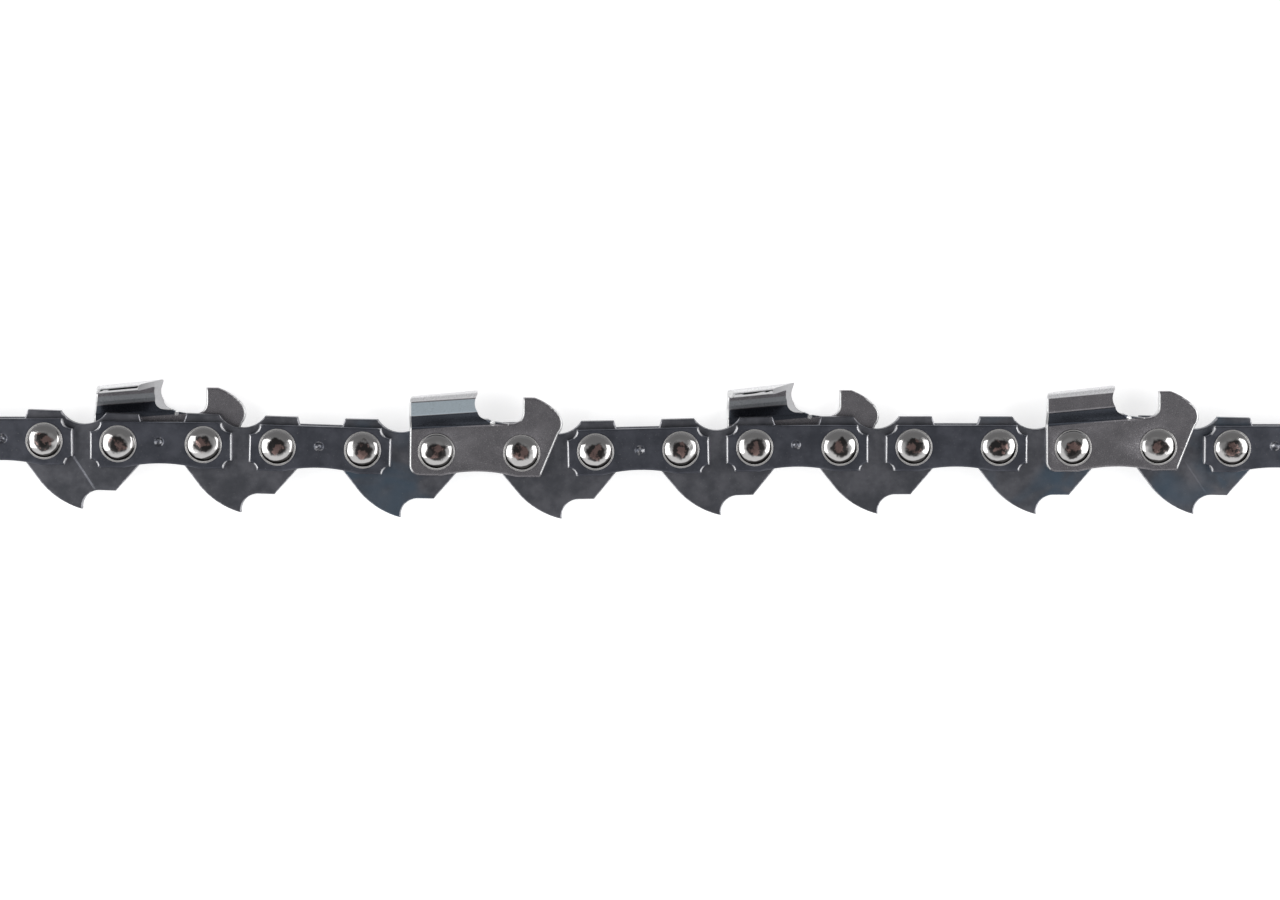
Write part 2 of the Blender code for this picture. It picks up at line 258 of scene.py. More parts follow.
def seatOf(rearRivet, frontRivet):
    # Where a link lies: the middle between its rivets, its turn about Z, and half their distance
    rear, front = middleOf(rearRivet), middleOf(frontRivet)
    way = front - rear
    return (rear + front) / 2, math.atan2(way[1], way[0]), np.hypot(way[0], way[1]) / mm / 2


def show(name, data):
    thing = bpy.data.objects.new(name, data)
    bpy.context.scene.collection.objects.link(thing)
    return thing


def makePiece(name, shell, seat, side, finishes, body, sharp=38):
    # Turns a shell by its seat's angle and moves it there; side -1 mirrors it to the far side
    points = np.concatenate(shell.points)
    centre, c, s = seat[0], math.cos(seat[1]), math.sin(seat[1])
    x, y, z = (points * [1, 1, side]).T * mm
    placed = np.stack([centre[0] + c * x - s * y, centre[1] + s * x + c * y, centre[2] + z], axis=1)
    mesh = bpy.data.meshes.new(name)
    mesh.from_pydata(placed.tolist(), [], shell.faces)
    mesh.attributes.new("wear", "FLOAT", "POINT").data.foreach_set("value", np.concatenate(shell.wear))
    mesh.polygons.foreach_set("material_index", np.concatenate(shell.finish).astype(np.int32))
    corners = np.zeros(len(mesh.loops), np.int32)
    mesh.loops.foreach_get("vertex_index", corners)
    plan = points[corners, :2] / 10  # the link's own plan, in centimetres
    mesh.uv_layers.new(name="plan").data.foreach_set("uv", plan.ravel())
    bm = bmesh.new()
    bm.from_mesh(mesh)
    bmesh.ops.remove_doubles(bm, verts=bm.verts[:], dist=weldWithin)
    bmesh.ops.recalc_face_normals(bm, faces=bm.faces[:])
    if bm.calc_volume(signed=True) < 0:
        bmesh.ops.reverse_faces(bm, faces=bm.faces[:])
    bm.to_mesh(mesh)
    bm.free()
    for finish in finishes:
        mesh.materials.append(finish)
    mesh.shade_smooth()
    mesh.set_sharp_from_angle(angle=math.radians(sharp))
    piece = show(name + "_surface", mesh)
    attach(piece, body)
    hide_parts(name)


# Materials

def feed(tree, node, sockets):
    # Each of a node's sockets is linked to what it is given, or set to it
    for key, value in dict(sockets).items():
        if isinstance(value, bpy.types.NodeSocket):
            tree.links.new(value, node.inputs[key])
        else:
            node.inputs[key].default_value = value


def put(tree, kind, sockets=(), **settings):
    node = tree.nodes.new(kind)
    for key, value in settings.items():
        setattr(node, key, value)
    feed(tree, node, sockets)
    return node


def sums(tree, operation, *values):
    return put(tree, "ShaderNodeMath", enumerate(values), operation=operation).outputs[0]


def plus(tree, a, b):
    return sums(tree, "ADD", a, b)


def less(tree, a, b):
    return sums(tree, "SUBTRACT", a, b)


def times(tree, a, b):
    return sums(tree, "MULTIPLY", a, b)


def ramp(tree, value, low, high, start=0.0, end=1.0):
    sockets = {0: value, 1: low, 2: high, 3: start, 4: end}
    return put(tree, "ShaderNodeMapRange", sockets, interpolation_type="SMOOTHSTEP").outputs[0]


def blended(tree, share, a, b):
    # From a to b by share. Each is a socket, or a colour (r, g, b)
    a, b = (c if isinstance(c, bpy.types.NodeSocket) else (*c, 1) for c in (a, b))
    return put(tree, "ShaderNodeMix", {0: share, 6: a, 7: b}, data_type="RGBA").outputs[2]


def noise(tree, vector, scale, detail=3.0, roughness=0.55, distortion=0.0):
    sockets = {"Vector": vector, "Scale": scale, "Detail": detail, "Roughness": roughness,
               "Distortion": distortion}
    return put(tree, "ShaderNodeTexNoise", sockets).outputs["Fac"]


def planOf(tree):
    # The link's own plan, in centimetres
    return put(tree, "ShaderNodeUVMap", uv_map="plan").outputs[0]


def awayFrom(tree, place):
    # How far a point of the plan lies from place
    sockets = {0: planOf(tree), 1: place}
    return put(tree, "ShaderNodeVectorMath", sockets, operation="DISTANCE").outputs["Value"]


def separated(tree):
    # How far along and how far up the link's own plan a point lies
    parts = put(tree, "ShaderNodeSeparateXYZ", {0: planOf(tree)}).outputs
    return parts[0], parts[1]


def effect(tree, group, sockets):
    return put(tree, "ShaderNodeGroup", sockets, node_tree=group).outputs


def nodeGroup(inputs, outputs):
    # Makes a node group of the function below it, which gives back a list of what its outputs show.
    # An input's value is given, or None for a vector; every output is a number.
    def made(fill):
        tree = bpy.data.node_groups.new(fill.__name__, "ShaderNodeTree")
        for label, value in inputs.items():
            kind = "NodeSocketVector" if value is None else "NodeSocketFloat"
            socket = tree.interface.new_socket(label, in_out="INPUT", socket_type=kind)
            if value is not None:
                socket.default_value = value
        for label in outputs:
            tree.interface.new_socket(label, in_out="OUTPUT", socket_type="NodeSocketFloat")
        given = tree.nodes.new("NodeGroupInput").outputs
        feed(tree, tree.nodes.new("NodeGroupOutput"), zip(outputs, fill(tree, given)))
        return tree
    return made


@nodeGroup({"Vector": None, "Clouds": 900.0, "Grain": 9000.0, "Specks": 0.5}, ["Clouds", "Grain", "Specks"])
def steelGrain(tree, given):
    # Soft clouds, fine grain and scattered specks of rolled or plated steel
    speckScale, fewest, spread, edgeWidth = 0.62, 0.76, 0.16, 0.05
    clouds = noise(tree, given["Vector"], given["Clouds"], 4, 0.6)
    grain = noise(tree, given["Vector"], given["Grain"], 2, 0.6)
    fine = noise(tree, given["Vector"], times(tree, given["Grain"], speckScale), 1, 0.4)
    edge = less(tree, fewest, times(tree, given["Specks"], spread))
    return [clouds, grain, ramp(tree, fine, edge, plus(tree, edge, edgeWidth))]


@nodeGroup({"Vector": None, "WearAndPaintedLight": 0.0, "Amount": 0.5}, ["Mask"])
def edgeWearAndHighlight(tree, given):
    # Where an edge is rubbed bare and painted pale as a highlight: the edge's own wear and painted
    # light, broken up by a noise
    brokenScale, brokenShare, least, edgeWidth = 2600.0, 0.9, 1.05, 0.3
    broken = noise(tree, given["Vector"], brokenScale, 3, 0.6)
    level = plus(tree, given["WearAndPaintedLight"], times(tree, less(tree, broken, 0.5), brokenShare))
    start = less(tree, least, given["Amount"])
    return [ramp(tree, level, start, plus(tree, start, edgeWidth))]


@nodeGroup({"WearAndPaintedLight": 0.0}, ["Mask"])
def edgePaintedShade(tree, given):
    # Where an edge is painted dark as shade instead of pale: its wear and painted light is below zero there
    return [ramp(tree, times(tree, given["WearAndPaintedLight"], -1.0), 0.3, 0.8)]


@nodeGroup({"Vector": None, "Scale": 170.0}, ["Mask"])
def temperPatches(tree, given):
    # Wide soft patches, as the blue left by tempering
    clouds = noise(tree, given["Vector"], given["Scale"], 2, 0.5, 0.6)
    return [ramp(tree, clouds, 0.42, 0.68, 0.0, 0.85)]


@nodeGroup({"Low": 0.0, "High": 1.0, "Share": 1.0}, ["Mask"])
def paintedSectionBand(tree, given):
    # A stretch of the tooth's section where a band of painted light and shade lies, by its height
    # above the rivets at the tooth's slope
    toothSlope, edgeWidth = 0.085, 0.012
    along, upward = separated(tree)
    above = less(tree, upward, times(tree, along, toothSlope))
    over = ramp(tree, above, given["Low"], plus(tree, given["Low"], edgeWidth))
    under = ramp(tree, above, given["High"], plus(tree, given["High"], edgeWidth), 1.0, 0.0)
    return [times(tree, times(tree, over, under), given["Share"])]


@nodeGroup({"Place": None, "Clouds": 0.5, "Inner": 0.02, "Outer": 0.03}, ["Mask"])
def nearSpot(tree, given):
    # What lies near one place of the link's plan, with an uneven edge
    unevenness = 0.06
    uneven = times(tree, less(tree, given["Clouds"], 0.5), unevenness)
    away = plus(tree, awayFrom(tree, given["Place"]), uneven)
    return [ramp(tree, away, given["Inner"], given["Outer"], 1.0, 0.0)]


@nodeGroup({"Depth": 1.0}, ["Height"])
def tangCrease(tree, given):
    # A shallow crease across the tang: its height goes by the distance from a slanting line
    turn, width, fade, low, high = math.radians(55), 0.014, 0.1, -0.6, 0
    onLine = (0.02, -0.35)
    along, upward = separated(tree)
    alongShare = times(tree, less(tree, along, onLine[0]), math.sin(turn))
    upwardShare = times(tree, less(tree, upward, onLine[1]), math.cos(turn))
    side = ramp(tree, plus(tree, alongShare, upwardShare), -width, width)
    ends = times(tree, ramp(tree, upward, low, low + fade), ramp(tree, upward, high - fade, high, 1.0, 0.0))
    return [times(tree, times(tree, side, ends), given["Depth"])]


def startMaterial(name):
    material = bpy.data.materials.new(name)
    material.use_nodes = True
    tree = material.node_tree
    return material, tree, tree.nodes["Principled BSDF"], put(tree, "ShaderNodeTexCoord").outputs["Object"]


def bumped(tree, height, look):
    sockets = {"Height": height, "Strength": look["bump"], "Distance": look["bumpHeight"]}
    return put(tree, "ShaderNodeBump", sockets).outputs[0]


def steelFinish(name, look):
    # Steel with a dark or plated finish: clouded and speckled, with paler edges that are rubbed and
    # painted as highlights, and painted shade on edges whose value is below zero
    material, tree, surface, place = startMaterial(name)
    wear = put(tree, "ShaderNodeAttribute", attribute_name="wear").outputs["Fac"]
    clouds, fine, specks = effect(tree, steelGrain, {"Vector": place, "Clouds": look["clouds"],
                                                     "Grain": look["grain"], "Specks": look["specks"]})
    rubbedAndHighlit = effect(tree, edgeWearAndHighlight, {"Vector": place, "WearAndPaintedLight": wear, "Amount": look["wear"]})[0]
    colour = blended(tree, ramp(tree, clouds, 0.3, 0.7), look["dark"], look["light"])
    if "tint" in look:
        patches = effect(tree, temperPatches, {"Vector": place, "Scale": look["patches"]})[0]
        colour = blended(tree, patches, colour, look["tint"])
    colour = blended(tree, times(tree, specks, look["speckShare"]), colour, look["speck"])
    metallic = look["metallic"]
    # Bands of painted light and shade across the tooth's section
    for low, high, tint, share, satin in look.get("paintedBands", ()):
        paintedBand = effect(tree, paintedSectionBand, {"Low": low, "High": high, "Share": share})[0]
        colour = blended(tree, paintedBand, colour, tint)
        if satin:
            metallic = less(tree, metallic, times(tree, paintedBand, satin))
    if "burr" in look:
        spot = effect(tree, nearSpot, {"Clouds": clouds, **look["burr"]})[0]
        colour = blended(tree, spot, colour, look["bareAndHighlight"])
    colour = blended(tree, rubbedAndHighlit, colour, look["bareAndHighlight"])
    colour = blended(tree, effect(tree, edgePaintedShade, {"WearAndPaintedLight": wear})[0], colour, look["paintedShade"])
    rough = ramp(tree, fine, 0.25, 0.75, *look["rough"])
    rough = plus(tree, rough, times(tree, rubbedAndHighlit, look["rubbedAndHighlitRough"]))
    height = plus(tree, times(tree, clouds, 0.6), times(tree, fine, 0.4))
    if "crease" in look:
        height = plus(tree, height, effect(tree, tangCrease, {"Depth": look["crease"]})[0])
    feed(tree, surface, {"Base Color": colour, "Roughness": rough, "Metallic": metallic,
                         "Normal": bumped(tree, height, look)})
    return material


def filedFinish(name, look):
    # Bright steel left by the file, with fine scratches along its stroke
    material, tree, surface, place = startMaterial(name)
    turn, stretch = (0, math.radians(look["stroke"]), 0), (1, 1, look["stretch"])
    sockets = {"Vector": place, "Rotation": turn, "Scale": stretch}
    turned = put(tree, "ShaderNodeMapping", sockets).outputs[0]
    scratches = noise(tree, turned, look["scratches"], 3, 0.7)
    soft = noise(tree, place, look["patches"], 2)
    colour = blended(tree, ramp(tree, scratches, 0.3, 0.7), look["dark"], look["light"])
    colour = blended(tree, ramp(tree, soft, 0.35, 0.7, 0.0, 0.35), colour, look["dark"])
    rough = ramp(tree, scratches, 0.3, 0.7, *look["rough"])
    feed(tree, surface, {"Base Color": colour, "Roughness": rough, "Metallic": look["metallic"],
                         "Normal": bumped(tree, scratches, look)})
    return material


def rivetFinish(name, look):
    # A spun head: bright rim, polished dome with a brown and black middle that is partly real scorch and
    # partly a painted dark reflection, and a painted dark reflection along its lower edge
    material, tree, surface, place = startMaterial(name)
    away = put(tree, "ShaderNodeVectorMath", {0: planOf(tree)}, operation="LENGTH").outputs["Value"]
    wobble = noise(tree, place, look["wobble"], 3, 0.6)
    mottle = noise(tree, place, look["mottle"], 4, 0.62)
    drift = times(tree, less(tree, wobble, 0.5), look["drift"])
    # centre is the middle that holds the scorch and its painted dark reflection
    centre = ramp(tree, plus(tree, away, drift), *look["scorchAndDarkReflection"], 1.0, 0.0)
    # The painted dark reflection along the lower edge is a crescent: what lies beyond a circle that is set a
    # little higher
    raised = awayFrom(tree, look["shadeFrom"])
    foot = ramp(tree, plus(tree, raised, times(tree, drift, look["shadeDrift"])), *look["shade"])
    foot = times(tree, foot, ramp(tree, away, look["rim"] - look["rimEdge"], look["rim"], 1.0, 0.0))
    # The scorch is browner at its middle and blacker further out, where the black is a painted dark
    # reflection
    mottle = less(tree, mottle, times(tree, less(tree, away, look["brownReach"]), look["brownFall"]))
    burntAndReflected = blended(tree, ramp(tree, mottle, *look["brownEdge"]), look["black"], look["brown"])
    colour = blended(tree, times(tree, centre, look["scorchAndDarkReflectionShare"]), look["bright"], burntAndReflected)
    colour = blended(tree, times(tree, foot, look["shadeShare"]), colour, look["black"])
    rough = ramp(tree, mottle, 0.3, 0.7, *look["rough"])
    rimmed = ramp(tree, away, look["rim"], look["rim"] + 0.008, 0.0, look["rimRough"])
    swell = noise(tree, place, look["swell"], 1, 0.4)
    feed(tree, surface, {"Base Color": colour, "Roughness": plus(tree, rough, rimmed), "Metallic": 1.0,
                         "Normal": bumped(tree, swell, look)})
    return material


steelLook = {"paintedShade": (0.015, 0.015, 0.017), "metallic": 0.85, "specks": 0.3, "bumpHeight": 0.00004}
strapLook = steelLook | {
    "dark": (0.075, 0.08, 0.097), "light": (0.12, 0.126, 0.15), "clouds": 450.0, "grain": 9000.0,
    "speck": (0.3, 0.29, 0.29), "speckShare": 0.4, "bareAndHighlight": (0.75, 0.75, 0.77), "wear": 0.8,
    "rough": (0.28, 0.4), "rubbedAndHighlitRough": 0.1, "bump": 0.3,
}
driveLook = steelLook | {
    "dark": (0.098, 0.102, 0.116), "light": (0.175, 0.177, 0.196), "clouds": 380.0, "grain": 8000.0,
    "speck": (0.3, 0.3, 0.3), "speckShare": 0.35, "bareAndHighlight": (0.45, 0.45, 0.48), "wear": 0.6,
    "rough": (0.3, 0.44), "rubbedAndHighlitRough": 0.0, "bump": 0.35,
}
bluedLook = {"tint": (0.09, 0.132, 0.178), "patches": 170.0}
creasedLook = {"crease": 6.0}
cutterLook = steelLook | {
    "dark": (0.235, 0.226, 0.24), "light": (0.28, 0.268, 0.284), "clouds": 900.0, "grain": 14000.0,
    "speck": (0.6, 0.59, 0.59), "speckShare": 0.5, "specks": 0.62, "bareAndHighlight": (0.85, 0.85, 0.85), "wear": 0.85,
    "rough": (0.22, 0.34), "rubbedAndHighlitRough": 0.12, "bump": 0.3, "metallic": 0.92,
    # Torn bright metal where the fold runs out
    "burr": {"Place": (0.158, 0.343, 0), "Inner": 0.02, "Outer": 0.032},
}
# Bands of painted light and shade across the tooth: a painted dark reflection on the leaning band and
# a painted highlight over the crest and top plate. Each band is where it starts and ends, its tint,
# its share and how much less metallic it is
toothPaintedLightBands = [(0.314, 0.476, (0.045, 0.055, 0.073), 0.9, 0), (0.648, 0.9, (0.97, 0.97, 0.98), 0.95, 0.55)]
toothPaintedLightLook = {"paintedBands": toothPaintedLightBands}
# A painted grey band for the light on the far cutters' inner side plate
innerPaintedLightLook = {"paintedBands": [*toothPaintedLightBands, (0.484, 0.58, (0.27, 0.285, 0.3), 0.9, 0.6)]}
# A pale band painted on the side plate as a sheen
brightSidePaintedLightLook = {"paintedBands": [*toothPaintedLightBands, (0.482, 0.636, (0.46, 0.54, 0.59), 0.9, 0.7)]}
filedLook = {
    "dark": (0.42, 0.42, 0.43), "light": (0.55, 0.55, 0.56), "metallic": 0.8, "rough": (0.3, 0.42),
    "scratches": 9000.0, "stroke": 33, "stretch": 0.06, "patches": 700.0, "bump": 0.25,
    "bumpHeight": 0.00003,
}
headLook = {
    "bright": (0.62, 0.61, 0.6), "brown": (0.3, 0.19, 0.17), "black": (0.015, 0.012, 0.012),
    "rough": (0.13, 0.22), "rim": 0.198, "rimEdge": 0.012, "rimRough": 0.16,
    "wobble": 620.0, "mottle": 1100.0, "swell": 520.0, "bump": 0.6, "bumpHeight": 0.00012,
    # scorch is the reach of the brown and black middle: partly real scorch, partly painted dark reflection
    "scorchAndDarkReflection": (0.088, 0.122), "scorchAndDarkReflectionShare": 0.92, "drift": 0.16,
    "brownReach": 0.06, "brownFall": 2.0, "brownEdge": (0.46, 0.57),
    "shadeFrom": (-0.012, 0.03, 0), "shade": (0.18, 0.19), "shadeShare": 0.9, "shadeDrift": 0.2,
}
strapSteel = steelFinish("blackenedStrapSteel", strapLook)
driveFinishes = {}
for blued, creased in ((False, False), (False, True), (True, False), (True, True)):
    look = driveLook | (bluedLook if blued else {}) | (creasedLook if creased else {})
    driveFinishes[blued, creased] = steelFinish(f"temperedDriveSteel{int(blued)}{int(creased)}", look)
cutterSteel = steelFinish("platedCutterSteel", cutterLook)
toothSteelPaintedLight = steelFinish("toothSteelPaintedLight", cutterLook | toothPaintedLightLook)
innerToothSteelPaintedLight = steelFinish("innerToothSteelPaintedLight", cutterLook | innerPaintedLightLook)
brightSideToothSteelPaintedLight = steelFinish("brightSideToothSteelPaintedLight", cutterLook | brightSidePaintedLightLook)
filedSteel = filedFinish("filedEdgeSteel", filedLook)
headSteelPaintedReflection = rivetFinish("spunRivetSteelPaintedReflection", headLook)
print("materials made")


# Flat plates

def plateShell(over, under, half, thickness, edge, shine, hole, around, sides=56, dimpleAt=None):
    # A flat stamped plate from the two halves of its outline, split where the line through its
    # holes meets it. Its edges that face along the chain, towards the lamps, get a painted highlight
    # with their wear; shine is how bright its edges are that don't face along the chain.
    outline, top = np.concatenate([over[:-1], under[:-1]]), thickness / 2
    profile, way = rimProfile(thickness, edge), inwards(outline)
    bright = shine + (1 - shine) * endShare(way)
    shell = Shell()
    rings = shell.add(carried(outline, way, profile, top), profile[:, 2][:, None] * bright)
    shell.skin(rings)
    holes = [addHole(shell, (x, 0), hole, around, top, sides) for x in (-half, half)]
    upper = [ring[0] for ring in holes]
    if dimpleAt:
        upper.insert(1, addDimple(shell, strap["dimple"], dimpleAt, top))
    addFaces(shell, rings[0], 0, len(over) - 1, upper, False)
    addFaces(shell, rings[-1], 0, len(over) - 1, [ring[-1] for ring in holes], True)
    return shell


# Rivets

rivet = {
    "bearing": 2.2, "shank": 1.75, "bevel": 0.04,
    "clear": 0.02,  # the play round the shank and under the head
    "head": 2.17, "rimHeight": 0.16, "edge": 0.07,
    "dome": 2.0,  # where the dome starts inside the rim
    "height": 0.76,
    "groove": 0.03,  # between the rim and the dome
    "round": 0.85,  # nearer 1 makes the dome steeper at its foot
    "wave": 0.011,  # how uneven the spun dome is
    "waves": 7, "waveLength": (1.0, 3.2), "seed": 7,
    "sides": 72,
}
rivetRandom = np.random.default_rng(rivet["seed"])


def rivetShell():
    # A profile (r, z) turned about Z. The dome is part of an ellipse, z = sqrt(1 - round * s^2) where
    # s = r / dome, and is uneven by a sum of waves that run over it in different directions.
    clear, dip = rivet["clear"], rivet["groove"]
    base = plateOuter + clear
    rim = base + rivet["rimHeight"]
    top = plateOuter + rivet["height"]
    edge = arcPath((rivet["head"] - rivet["edge"], rim - rivet["edge"]), rivet["edge"], 0, 90, 6)
    groove = arcPath((rivet["dome"] + dip, rim + dip / 3), dip, 270, 180, 4)
    s = np.cos(np.linspace(0, math.pi / 2, 26))[:-1] ** 0.85
    lowest = math.sqrt(1 - rivet["round"])
    foot = rim + dip
    rise = (np.sqrt(1 - rivet["round"] * s ** 2) - lowest) / (1 - lowest)
    dome = np.stack([rivet["dome"] * s, foot + (top - foot) * rise], axis=1)
    shoulder, bevel = plateInner - clear, rivet["bevel"]
    stem = np.array([[rivet["bearing"], 0], [rivet["bearing"], shoulder - bevel],
                     [rivet["bearing"] - bevel, shoulder], [rivet["shank"], shoulder],
                     [rivet["shank"], base], [rivet["head"] - dip, base], [rivet["head"], base + dip]])
    half = joined(stem, edge, groove, dome)
    profile = np.concatenate([half[:0:-1] * [1, -1], half])
    a = np.linspace(0, 2 * math.pi, rivet["sides"] + 1)[:-1]
    x, y = profile[:, :1] * np.cos(a), profile[:, :1] * np.sin(a)
    onDome = (np.abs(profile[:, 1]) > foot) * np.clip(1 - (profile[:, 0] / rivet["dome"]) ** 4, 0, 1)
    way = rivetRandom.uniform(0, 2 * math.pi, (4, rivet["waves"], 1, 1))
    length = rivetRandom.uniform(*rivet["waveLength"], (rivet["waves"], 1, 1))
    phase = 2 * math.pi * (x * np.cos(way[0]) + y * np.sin(way[0])) / length + way[1]
    swell = np.abs(np.sum(np.sin(phase) * length, axis=0))
    z = profile[:, 1:] - (np.sign(profile[:, 1]) * onDome)[:, None] * rivet["wave"] * swell / 2
    shell = Shell()
    numbers = shell.add(np.stack([x, y, z], axis=-1), 0.0)
    shell.skin(numbers)
    for end in (0, -1):
        shell.fan(numbers[end], (0.0, 0.0, z[end].mean()))
    return shell


def makeRivet(name, body):
    makePiece(name, rivetShell(), (middleOf(name), 0.0), 1, [headSteelPaintedReflection], body, sharp=50)


# Tie straps

strap = {
    "reach": 3.33, "top": 2.6, "topScoop": 1.2, "footScoop": 0.97, "edge": 0.2,
    # The dimple's shine is a painted highlight in its bowl
    "dimple": {"radius": 0.6, "depth": 0.28, "shine": 0.3},
    # Where the dimple lies on the near strap of a pair, from the strap's middle
    "dimples": {1: (0.07, 0.28), 2: (-0.22, 0.26), 3: (-0.15, 0.23), 5: (0.17, 0.04), 6: (-0.16, 0.3),
                9: (0, 0.25)},
}


def footArch(half):
    # The arched waist between the two feet
    ends = half - chain["footStart"]
    return bowPath((-ends, -chain["waist"]), (ends, -chain["waist"]), -chain["waistRise"], 22)


def strapShell(half, dimpleAt):
    reach, low, high = half + strap["reach"], -chain["waist"], strap["top"]
    footEnd = joined(
        linePath((half - chain["footStart"], low), (reach - strap["footScoop"], low), 6),
        arcPath((reach, low), strap["footScoop"], 180, 90, 12),
        linePath((reach, low + strap["footScoop"]), (reach, 0), 5),
    )
    topEnd = joined(
        linePath((reach, 0), (reach, high - strap["topScoop"]), 5),
        arcPath((reach, high), strap["topScoop"], 270, 180, 14),
        linePath((reach - strap["topScoop"], high), (0, high), 12),
    )
    inset = strap["edge"] + chain["land"]
    over = cleared(joined(topEnd, flipped(topEnd)), inset)
    under = cleared(joined(flipped(footEnd), footArch(half), footEnd), inset)
    return plateShell(over, under, half, chain["plate"], strap["edge"], 0, rivet["shank"] + rivet["clear"],
                      holeProfile(chain["plate"]), dimpleAt=dimpleAt)


def makeStrap(name, number, side, body):
    seat = seatOf(f"rear_rivet_{number}", f"front_rivet_{number}")
    dimpleAt = strap["dimples"].get(number) if side > 0 else None
    shell = strapShell(seat[2], dimpleAt)
    shell.points = [points + [0, 0, (plateInner + plateOuter) / 2] for points in shell.points]
    makePiece(name, shell, seat, side, [strapSteel], body)


# Drive links

drive = {
    "hornTop": 3.5, "hornShoulder": 2.58, "hornTip": 2.18, "hornBase": 2.48, "hornInset": 1.65,
    "saddle": 1.46, "endBulge": 0.9, "heelReach": 2.26, "heel": 2.68, "kneeInset": 0.43, "knee": 4.97,
    "tangBulge": 0.44, "tip": 7.969, "tipPlace": 0.18, "hook": 2.01, "hookLip": 0.3, "toe": 5.66,
    # shine is how much painted highlight the edges get that don't face along the chain
    "toeInset": 0.28, "edge": 0.14, "holeEdge": 0.08, "shine": 0.4,
    # Which links are tempered blue and which tangs are creased
    "blued": (3, 7, 8), "creased": (1, 8),
}


def driveShell(half):
    # Horns over the rivets, a saddle between them, and the hooked tang below
    tip = (drive["tipPlace"], -drive["tip"])
    lip = -drive["tip"] + drive["hookLip"]
    knee = (-half - drive["kneeInset"], -drive["knee"])
    toe = (half - drive["toeInset"], -drive["toe"])
    heel = (half + drive["heelReach"], -drive["heel"])
    shoulder = (half + drive["hornBase"], drive["hornShoulder"])
    tang = joined(
        bowPath(knee, tip, drive["tangBulge"], 24),
        linePath(tip, (tip[0], lip), 3),
        arcPath((tip[0] + drive["hook"], lip), drive["hook"], 180, 90, 18),
        linePath((tip[0] + drive["hook"], lip + drive["hook"]), toe, 5),
        linePath(toe, heel, 10),
    )
    end = bowPath(heel, shoulder, drive["endBulge"], 21)
    inner = half - drive["hornInset"]
    hornTip = (half + drive["hornTip"], drive["hornTop"])
    horn = joined(linePath(shoulder, hornTip, 4), linePath(hornTip, (inner, drive["hornTop"]), 10))
    saddle = bowPath((inner, drive["hornTop"]), (-inner, drive["hornTop"]), -drive["saddle"], 30)
    middle = len(end) // 2
    inset = drive["edge"] + chain["land"]
    over = cleared(joined(end[middle:], horn, saddle, flipped(horn), flipped(end)[:middle + 1]), inset)
    back = linePath((-heel[0], heel[1]), knee, 8)
    under = cleared(joined(flipped(end)[middle:], back, tang, end[:middle + 1]), inset)
    around = holeProfile(chain["gauge"], radius=drive["holeEdge"])
    return plateShell(over, under, half, chain["gauge"], drive["edge"], drive["shine"],
                      rivet["bearing"] + chain["gap"], around, 64)


def makeDriveLink(name, number, body):
    seat = seatOf(f"front_rivet_{number}", f"rear_rivet_{number + 1}")
    finish = driveFinishes[number in drive["blued"], number in drive["creased"]]
    makePiece(name, driveShell(seat[2]), seat, 1, [finish], body)


# Cutters

cutter = {
    "rearReach": 3.17, "rearCorner": 1.2,
    "foldSlope": 0.0675, "backSlope": 0.108,  # how the tooth falls to the rear, along its fold and its top
    "fold": 3.18, "foldFront": 3.4,
    "frontSweep": 11.6,  # how quickly the unfiled front runs out along the fold line
    "lean": math.radians(43), "bend": 0.5, "innerBend": 0.25, "crest": 0.85,
    "top": 7.42, "topFront": 0.6, "topThickness": 0.75, "topDrop": math.radians(4), "topWidth": 3.5,
    "topTrim": 0.85,  # how much shorter the top plate is at its free edge
    "backTaper": 0.026,
    "rounds": 14,  # how often the front and the taper are worked out in turn until they agree
    "joinDrop": 0.15,  # how far below the fold line the tooth's own surface starts
    "gulletFloor": 3.42, "gulletRadius": 1.3,
    "gaugeRear": 0.05, "gaugeTop": 6.5, "gaugeLength": 1.4, "browBulge": 0.2,
    "noseReach": 4.27, "noseHeight": 4.67, "noseBulge": 0.45,
    "cheekReach": 4.3, "cheekHeight": 2.35, "toeReach": 2.2,
    "fileRadius": 2.04, "fileTilt": math.radians(33), "fileX": 1.92, "fileY": 5.88,
    "edge": 0.2, "recess": 0.34, "recessDepth": 0.12,  # the recess is the cone round a rivet's head
    # The side plate of these cutters is painted paler, as a painted sheen
    "bright": (4,),  # the cutters whose side plate is paler than the rest
}


def crossing(p, pWay, q, qWay):
    # Where the line through p along pWay crosses the line through q along qWay
    cross = pWay[0] * qWay[1] - pWay[1] * qWay[0]
    along = ((q[0] - p[0]) * qWay[1] - (q[1] - p[1]) * qWay[0]) / cross
    return (p[0] + pWay[0] * along, p[1] + pWay[1] * along)


def bentPath(corners, straights, bendCount):
    # A path through corners (y, z, radius): straight runs with as many points as straights says,
    # and an arc of bendCount points round each corner between
    points = np.array(corners, float)[:, :2]
    pieces, last = [], points[0]
    for i in range(1, len(corners) - 1):
        corner, radius = points[i], corners[i][2]
        back = points[i - 1] - corner
        ahead = points[i + 1] - corner
        back, ahead = back / np.linalg.norm(back), ahead / np.linalg.norm(ahead)
        opening = math.acos(float(back @ ahead))
        run = radius / math.tan(opening / 2)
        centre = corner + (back + ahead) / np.linalg.norm(back + ahead) * radius / math.sin(opening / 2)
        pieces.append(linePath(last, corner + back * run, straights[i - 1])[:-1])
        first, second = corner + back * run - centre, corner + ahead * run - centre
        turn = math.atan2(first[0] * second[1] - first[1] * second[0], float(first @ second))
        a = math.atan2(first[1], first[0]) + np.linspace(0, turn, bendCount)
        pieces.append(centre + radius * np.stack([np.cos(a), np.sin(a)], axis=1))
        last = corner + ahead * run
    pieces.append(linePath(last, points[-1], straights[-1])[1:])
    return np.concatenate(pieces)


